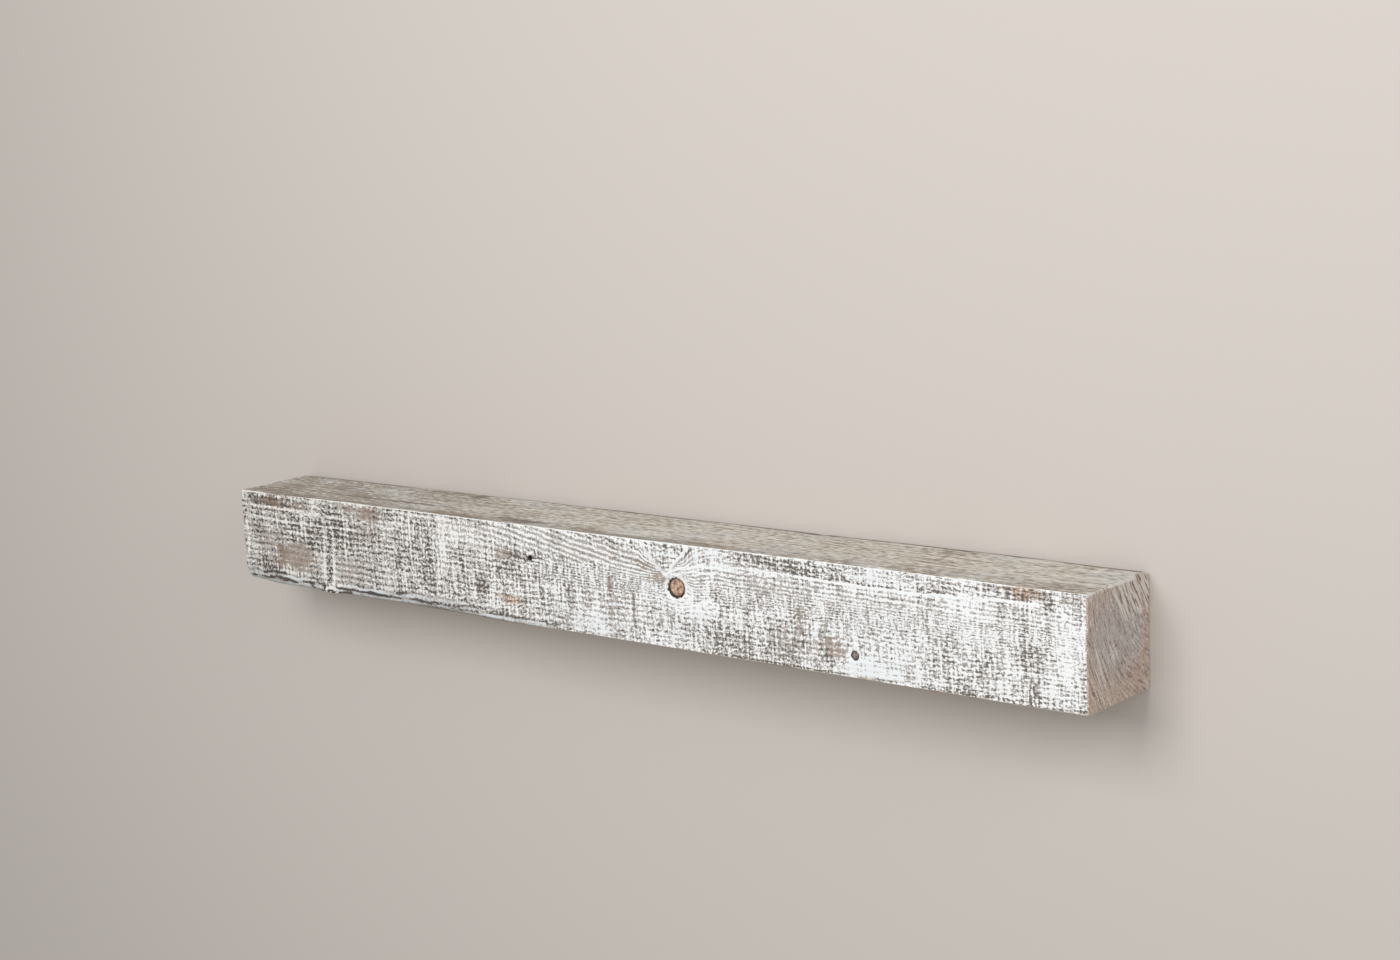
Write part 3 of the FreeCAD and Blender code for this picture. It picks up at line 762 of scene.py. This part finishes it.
def sawn_end_grain():
    """Pine sawn across: fine grey-brown rings, greyer in the middle, pale and dark where the saw tore it."""
    material, tree, place = new_material("sawn_pine_end_grain", 0.88, ior=1.53)
    grain = add(tree, "Attribute", attribute_name="end_grain").outputs["Vector"]
    torn = add(tree, "Attribute", attribute_name="end_torn").outputs["Fac"]
    heart = add(tree, "Attribute", attribute_name="end_heart").outputs["Fac"]
    rings = add(
        tree, "TexWave",
        {"Vector": grain, "Scale": ONE_WAVE, "Distortion": 1.8, "Detail": 2.0, "Detail Scale": 1.0},
        bands_direction="X", wave_profile="SAW",
    )
    mark = {"rings": rings.outputs["Fac"]}
    for name, stretch in (("scuffs", (0.15, 0.3, 1.3)), ("bundles", (1.2, 0.9, 0))):
        scaled = add(tree, "VectorMath", {0: grain, 1: stretch}, operation="MULTIPLY")
        mark[name] = add(tree, "TexNoise", {"Vector": scaled, "Scale": 1.0, "Detail": 3.0})
    for name, size in (("pores", 2.4), ("drift", 55)):
        mark[name] = add(tree, "TexNoise", {"Vector": place, "Scale": 1 / (size * MM), "Detail": 2.0})
    lifted = add(
        tree, "MapRange",
        {"Value": mark["scuffs"], "From Min": 0.42, "From Max": 0.6, "To Min": -0.2, "To Max": 0.7},
    )
    mark["tears"] = add(tree, "Math", {0: lifted, 1: torn}, operation="MULTIPLY")
    shade = -0.96
    for name, weight in (
        ("rings", 0.16), ("scuffs", 0.45), ("bundles", 1.0), ("pores", 0.9), ("drift", 0.3), ("tears", 1.3),
    ):
        shade = add(tree, "Math", {0: mark[name], 1: weight, 2: shade}, operation="MULTIPLY_ADD")
    grey = add(tree, "Math", {0: mark["drift"], 1: 0.8, 2: heart}, operation="MULTIPLY_ADD")
    layers = (
        (grey, 0.5, 1.3, 0.85, "#BFB5B1"),
        (shade, 0.45, 0.15, 0.9, "#887165"),
        (shade, 0.5, 0.8, 0.9, "#E6DCD2"),
        (torn, 1.05, 1.5, 0.9, "#EFE9E2"),
    )
    gloss = add(tree, "MapRange", {"Value": shade, "To Min": 0.8, "To Max": 0.95})
    return dressed(material, tinted(tree, "#C5AE9F", layers), gloss, shade, strength=0.6, depth=0.5)


def raw_sawn_pine(name, base, dark, pale, band):
    """Unpainted sawn pine: warm streaks along the grain under fine bands that the blade left across it."""
    material, tree, place = new_material(name, 0.85, ior=1.53)
    # Streaks, fibres, drift and saw bands: each one's size in mm along, across and up, and its weight
    marks = (((130, 4, 4), 1.1), ((24, 1.3, 1.3), 0.7), ((110, 60, 60), 0.6), ((band, 35, 35), 0.42))
    shade = -0.93
    for size, weight in marks:
        stretch = [1 / (s * MM) for s in size]
        scaled = add(tree, "VectorMath", {0: place, 1: stretch}, operation="MULTIPLY")
        noise = add(tree, "TexNoise", {"Vector": scaled, "Scale": 1.0, "Detail": 4.0})
        shade = add(tree, "Math", {0: noise, 1: weight, 2: shade}, operation="MULTIPLY_ADD")
    layers = ((shade, 0.45, 0.15, 1.0, dark), (shade, 0.5, 0.85, 1.0, pale))
    gloss = add(tree, "MapRange", {"Value": shade, "To Min": 0.78, "To Max": 0.92})
    return dressed(material, tinted(tree, base, layers), gloss, shade, strength=0.6, depth=0.5)


def satin_powder_coat():
    """Black powder coat on steel bar: satin, with the baked powder's fine orange peel, and dust."""
    material, tree, place = new_material("black_powder_coated_steel", 0.42)
    peel = add(tree, "TexNoise", {"Vector": place, "Scale": 1 / (2.5 * MM), "Detail": 2.0})
    dust = add(tree, "TexNoise", {"Vector": place, "Scale": 1 / (70 * MM), "Detail": 4.0})
    dusty = add(tree, "MapRange", {"Value": dust, "From Min": 0.45, "From Max": 0.75, "To Max": 0.35})
    colour = add(tree, "MixRGB", {"Fac": dusty, "Color1": "#1D1D1F", "Color2": "#55524E"})
    gloss = add(tree, "MapRange", {"Value": dust, "To Min": 0.36, "To Max": 0.55})
    return dressed(material, colour, gloss, peel, strength=0.25, depth=0.15)


def worked_metal(name, base, tint, roughness, line_size):
    """Bare or plated metal: fine lines the way it was drawn or turned, and a cloudy change of tint."""
    material, tree, place = new_material(name, roughness, metallic=1.0)
    stretch = [1 / (s * MM) for s in line_size]
    scaled = add(tree, "VectorMath", {0: place, 1: stretch}, operation="MULTIPLY")
    lines = add(tree, "TexNoise", {"Vector": scaled, "Scale": 1.0, "Detail": 3.0})
    cloud = add(tree, "TexNoise", {"Vector": place, "Scale": 1 / (9 * MM), "Detail": 3.0})
    tinge = add(tree, "MapRange", {"Value": cloud, "From Min": 0.4, "From Max": 0.7})
    colour = add(tree, "MixRGB", {"Fac": tinge, "Color1": base, "Color2": tint})
    smooth, dull = roughness - 0.08, roughness + 0.1
    gloss = add(
        tree, "MapRange",
        {"Value": lines, "From Min": 0.3, "From Max": 0.7, "To Min": smooth, "To Max": dull},
    )
    return dressed(material, colour, gloss, lines, strength=0.15, depth=0.05)


def set_field(mesh, name, values):
    """Stores a number, or a row of three, at each corner point of a mesh."""
    kind, key = ("FLOAT_VECTOR", "vector") if values.ndim == 2 else ("FLOAT", "value")
    mesh.attributes.new(name, kind, "POINT").data.foreach_set(key, values.astype(np.float32).ravel())


def write_front_fields(mesh, x, z):
    """Stores the front's grain, how its wash lies and wears, and its painted shade, darker to the left,
    along the wane's edge and beside the knot's strands, which its material reads.
    """
    height, _ = wane_size(x)
    below = BOTTOM + height - z
    wane = ease(below, -1.0, 2.0) * ease(height, 2, 6)
    # Painted shade: a dark line along the wane's upper edge, in places
    wane_edge_shade = np.exp(-((below / 1.3) ** 2)) * ease(height, 3, 6) * ease(rough(x / 40, 0.5, 25), -0.4, 0.4)
    gaps = [knot_gap(x, z, knot) for knot in (LARGE_KNOT, PIN_KNOT)]
    halo = np.maximum(*[np.exp(-(((gap - 2.6) / 1.9) ** 2)) for gap in gaps])
    halo = halo * (1.1 + 0.6 * rough(x / 9, z / 9, 30))
    edge = np.minimum(np.minimum(TOP - z, RIGHT - x), x - LEFT)
    clean = in_patches(x, z, CLEAN_PATCHES)
    for share in (1.5 * (1 - ease(edge, 0.3, 1.8)), halo, 0.25 * wane, on_lines(x, z, WHITE_LINES)):
        clean = np.maximum(clean, share)
    stain_and_shade = in_patches(x, z, STAIN_PATCHES)
    bark = ease(rough(x / 16, z / 3.5, 33) + 0.4 * rough(x / 5, z / 2, 34), 0.1, 0.6)
    bark = wane * bark * (1 - ease(x, -220, -120))
    for share in (1.2 * wane_edge_shade, 1.6 * bark, 2 * on_lines(x, z, DARK_LINES), 1.6 * on_lines(x, z, BARK_HATCH)):
        stain_and_shade = np.maximum(stain_and_shade, share)
    bare, comb = in_patches(x, z, BARE_PATCHES), in_patches(x, z, COMBED_PATCHES)
    comb = np.maximum(comb, 0.55 * wane) * (1 - in_wedge(x, z))
    calm = np.maximum(comb, 0.5 * bare)
    # Thinner wash toward the left, and painted shade: the front darkens to the left as if less light fell
    # there
    thin_and_shaded = 1 - ease(x + 40 * rough(x / 90, z / 50, 22), -620, 60)
    amber = in_patches(x, z, AMBER_PATCHES)
    wash = 0.3 * clean - 0.14 * bare - 0.1 * amber - 0.14 * stain_and_shade - 0.11 * thin_and_shaded
    pits = 0.35 * clean + 0.05 * bare - 0.2 * stain_and_shade - 0.08 * thin_and_shaded
    combed = comb + 0.1 * thin_and_shaded * (1 - bare.clip(0, 1))
    for name, values in (
        ("grain", np.stack([x / ALONG_UNIT, growth_rings(x, z), saw_bands(x, z, FRONT_SEED)], -1)),
        ("wash", wash + 1.09 * calm - 0.11 * combed),
        ("pits", pits + 1.14 * calm - 0.11 * combed),
        ("sawn", 1 - calm),
        ("combed", combed),
        ("bare", bare),
        ("amber", amber),
        ("cool", np.maximum(0.85 * wane, 0.45 * in_patches(x, z, COOL_PATCHES))),
        ("thin_and_shaded", thin_and_shaded),
    ):
        set_field(mesh, f"front_{name}", values)


def write_other_fields(mesh, x, y, z):
    """Stores the grain of the top and ends, where they are stained, worn, painted or torn, and the top's
    painted shade: a shadow line at its back edge and a falloff to the left.
    """
    rings = long_rings(x, y, TOP_SEED)
    set_field(mesh, "top_grain", np.stack([x / ALONG_UNIT, rings, np.zeros_like(x)], -1))
    from_front = y - FRONT + 9 * rough(x / 70, y / 30, 23)
    # Painted shade: a dark line along the top's back edge stands for the shadow where the beam meets the
    # wall, with some grime
    grime_and_wall_shadow = 1.6 * ease(y + 2 * rough(x / 25, 0.5, 94) - 6 * sharp_back(x), -19, -14)
    rubbed = 0.55 * (1 - ease(from_front, 8, 30)) * (1 - 0.85 * ease(x, 150, 400))
    set_field(mesh, "top_stain_and_shade", np.maximum(in_patches(x, y, TOP_STAINS), np.maximum(grime_and_wall_shadow, rubbed)))
    painted = 2.5 * (1 - ease(x, -745, -640)) + 0.8 * rough(x / 30, 0.5, 95)
    set_field(mesh, "top_paint", (1 - ease(y - FRONT - painted, 0.4, 2.4)) * (1 - 0.6 * ease(x, -200, 100)))
    # Darker toward the left, partly wear and partly painted shade from a falloff of light; darker along the
    # front strip from wear
    worn_and_shaded = 0.95 * (1 - ease(x + 120 * rough(x / 200, y / 60, 26), -800, 200))
    set_field(mesh, "top_worn_and_shaded", np.maximum(worn_and_shaded, 0.9 * (1 - ease(from_front, 12, 48))))

    rings, _, turn = end_rings(y, z)
    slant = (y + END_SAW_SLOPE * z) / END_SCUFF_SPACING + 0.7 * rough(y / 40, z / 40, 92)
    set_field(mesh, "end_grain", np.stack([rings, turn * 9, slant], -1))
    # Fibres are torn pale near the upper back corner and low in front, sunk in two places, and frayed on top
    pale = 1 - ease(np.hypot((y + 28) / 1.4, z - 56), 18, 46)
    pale = np.maximum(pale, 0.3 * (1 - ease(np.hypot(y + 95, z + 35), 25, 55)))
    sunk = 1 - ease(np.hypot(y + 77, z + 47), 8, 28)
    sunk = np.maximum(sunk, 0.5 * (1 - ease(np.hypot(y + 15, z), 20, 50)))
    frayed = (1 - ease(TOP - z, 1.5, 4.5)) * ease(rough(y / 9, z / 9, 93), -0.5, 0.3)
    set_field(mesh, "end_torn", np.maximum(pale - sunk, 1.6 * frayed))
    set_field(mesh, "end_heart", 1 - ease(np.hypot((y + 72) / 1.2, z - 10), 18, 80))


def beam_timber():
    """The sawn beam: blank, recess, bores and holes, with a material for each face."""
    front, top, end = worn_white_wash(), weathered_pine(), sawn_end_grain()
    back = raw_sawn_pine("raw_sawn_pine", "#B49C80", "#85694F", "#CDB99E", band=6.0)
    under = raw_sawn_pine("grimy_sawn_pine", "#A79A8B", "#75685A", "#C2B7A9", band=7.0)
    routed = raw_sawn_pine("fresh_routed_pine", "#D3B183", "#B08854", "#E3CBA4", band=3.0)
    rusted = raw_sawn_pine("iron_stained_pine", "#2B211A", "#15100C", "#3B2C20", band=3.0)
    piece = new_object("beam_timber", beam_blank(), front, top, back, under, end, routed, rusted)
    for cutters, inside in zip(beam_cutters(), (routed, routed, routed, rusted)):
        joined = bpy.data.meshes.new("cutter")
        whole = bmesh.new()
        for cutter in cutters:
            single = bpy.data.meshes.new("single")
            cutter.to_mesh(single)
            whole.from_mesh(single)
            cutter.free()
        whole.to_mesh(joined)
        whole.free()
        tool = new_object("cutter", joined, inside)
        cut = piece.modifiers.new("cut", "BOOLEAN")
        cut.object, cut.operation = tool, "DIFFERENCE"
        cut.solver, cut.material_mode = "MANIFOLD", "TRANSFER"
        mesh = evaluated_mesh(piece)
        piece.modifiers.clear()
        piece.data = mesh
        bpy.data.objects.remove(tool)
    piece.data.shade_smooth()
    piece.data.set_sharp_from_angle(angle=math.radians(TIMBER_SHARP))
    places = np.empty(len(piece.data.vertices) * 3, np.float32)
    piece.data.vertices.foreach_get("co", places)
    x, y, z = (places.reshape(-1, 3) / MM).T.astype(float)
    write_front_fields(piece.data, x, z)
    write_other_fields(piece.data, x, y, z)
    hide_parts("beam")
    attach(piece, "beam")


def screw_thread(x, z, tip_y):
    """Closed mesh of a masonry screw's shank: a sharp high thread with a lower one between its turns."""
    y = np.linspace(THREAD_START, tip_y, round((tip_y - THREAD_START) / THREAD_ROW_STEP))[:, None]
    turn = np.linspace(0, 2 * np.pi, THREAD_SIDES, endpoint=False)[None, :]
    phase = (y / THREAD_PITCH - turn / (2 * np.pi)) % 1
    crest = np.zeros_like(phase)
    for place, half_width, height in THREAD_CRESTS:
        crest = np.maximum(crest, height * np.clip(1 - np.abs(phase - place) / half_width, 0, 1))
    taper = 1 - (1 - THREAD_TIP_SHARE) * ease(y, tip_y - THREAD_TIP_LENGTH, tip_y)
    reach = THREAD_RADIUS * taper * (THREAD_CORE_SHARE + (1 - THREAD_CORE_SHARE) * crest)
    y = np.broadcast_to(y, reach.shape)
    return loop_mesh("screw_thread", np.stack([x + reach * np.cos(turn), y, z + reach * np.sin(turn)], -1))


def wall_screw(node, zinc):
    """A masonry screw: the solid's head and neck, and behind the plate a shank with its real thread."""
    low, high = box_mm(node)
    x, z = (low[0] + high[0]) / 2, (low[2] + high[2]) / 2
    shape = bmesh.new()
    shape.from_mesh(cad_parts[node].data)
    bmesh.ops.bisect_plane(
        shape, geom=shape.verts[:] + shape.edges[:] + shape.faces[:], plane_co=(0, NECK_END * MM, 0),
        plane_no=(0, 1, 0), clear_outer=True,
    )
    bmesh.ops.remove_doubles(shape, verts=shape.verts, dist=WELD_GAP * MM)
    bmesh.ops.holes_fill(shape, edges=[edge for edge in shape.edges if edge.is_boundary])
    shape.from_mesh(screw_thread(x, z, high[1]))
    mesh = bpy.data.meshes.new(f"{node}_threaded")
    shape.to_mesh(mesh)
    shape.free()
    mesh.materials.clear()
    piece = new_object(f"{node}_threaded", mesh, zinc)
    mesh.shade_smooth()
    mesh.set_sharp_from_angle(angle=math.radians(SCREW_SHARP))
    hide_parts(node)
    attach(piece, "bracket")


def hardware():
    """The bracket's metal: solids that keep their shape get a finish, and the screws get their threads."""
    zinc = worked_metal("zinc_plated_steel", "#B9BBBD", "#A5A9B0", 0.32, (2, 2, 2))
    finishes = {
        "wall_plate": satin_powder_coat(),
        "support_rod": worked_metal("drawn_bright_steel", "#A8A9AA", "#8F9092", 0.34, (0.5, 20, 0.5)),
        "screw_washer": zinc,
        "lock_insert": worked_metal("turned_brass", "#C9A25A", "#AE8443", 0.34, (6, 6, 0.4)),
        "lock_screw": worked_metal("black_oxide_steel", "#3A3A3D", "#2A2A2C", 0.45, (3, 3, 0.5)),
    }
    for name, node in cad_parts.items():
        kind = name.rstrip("_0123456789")
        if kind in finishes:
            node.data.materials.clear()
            node.data.materials.append(finishes[kind])
        elif kind == "wall_screw":
            wall_screw(name, zinc)


def stage_surface(name, code, corners):
    """A plain backdrop that the camera and shiny things see from its front only, so it hides nothing."""
    material = bpy.data.materials.new(name)
    material.use_nodes = True
    tree = material.node_tree
    tree.nodes.clear()
    ray = add(tree, "LightPath").outputs
    behind = add(tree, "NewGeometry").outputs["Backfacing"]
    seen = add(tree, "Math", {0: ray["Is Camera Ray"], 1: ray["Is Glossy Ray"]}, operation="ADD")
    front = add(tree, "Math", {0: 1.0, 1: behind}, operation="SUBTRACT")
    shown = add(tree, "Math", {0: seen, 1: front}, operation="MULTIPLY", use_clamp=True)
    matt = add(tree, "BsdfDiffuse", {"Color": code})
    clear = add(tree, "BsdfTransparent")
    mixed = add(tree, "MixShader", {0: shown, 1: clear, 2: matt})
    add(tree, "OutputMaterial", {"Surface": mixed})
    mesh = bpy.data.meshes.new(name)
    mesh.from_pydata([Vector(c) * MM for c in corners], [], [(0, 1, 2, 3)])
    new_object(name, mesh, material)


def lamp(name, place, aim, size, power):
    """A square soft lamp that faces a point."""
    data = bpy.data.lights.new(name, "AREA")
    data.size, data.energy = size * MM, power
    made = bpy.data.objects.new(name, data)
    bpy.context.scene.collection.objects.link(made)
    made.location = Vector(place) * MM
    made.rotation_euler = (Vector(aim) - Vector(place)).to_track_quat("-Z", "Y").to_euler()


def studio():
    """Plain wall and floor, soft lamps in front, on the right and behind, and the photo's camera."""
    wall_y, floor_z, reach, high = 0.8, -1300.0, 6000.0, 3500.0
    ends = (-reach, reach, reach, -reach)
    wall = [(x, wall_y, z) for x, z in zip(ends, (floor_z, floor_z, high, high))]
    floor = [(x, y, floor_z) for x, y in zip(ends, (-reach, -reach, reach, reach))]
    stage_surface("plain_wall", "#CFC8C2", wall)
    stage_surface("plain_floor", "#E4E0DB", floor)
    lamp("key_lamp", (300, -3000, 1600), aim=(150, 0, 0), size=1800, power=66)
    lamp("right_lamp", (2600, -1400, 1300), aim=(500, 0, 0), size=1500, power=16)
    lamp("back_lamp", (600, 2600, -1400), aim=(0, 0, 0), size=1800, power=26)
    world = bpy.data.worlds.new("soft_sky")
    world.use_nodes = True
    tree = world.node_tree
    tree.nodes["Background"].inputs["Color"].default_value = linear("#F4F3F1")
    tree.nodes["Background"].inputs["Strength"].default_value = 0.5
    bpy.context.scene.world = world

    data = bpy.data.cameras.new("photo_camera")
    data.lens, data.sensor_width = CAMERA_LENS, SENSOR_WIDTH
    camera = bpy.data.objects.new("photo_camera", data)
    bpy.context.scene.collection.objects.link(camera)
    turn = Matrix.Rotation(math.radians(CAMERA_YAW), 4, "Z")
    tilt = Matrix.Rotation(math.radians(90 + CAMERA_PITCH), 4, "X")
    roll = Matrix.Rotation(math.radians(CAMERA_ROLL), 4, "Z")
    camera.matrix_world = Matrix.Translation(Vector(CAMERA_PLACE) * MM) @ turn @ tilt @ roll
    bpy.context.scene.camera = camera
    bpy.context.scene.view_settings.view_transform = "Standard"


beam_timber()
hardware()
studio()
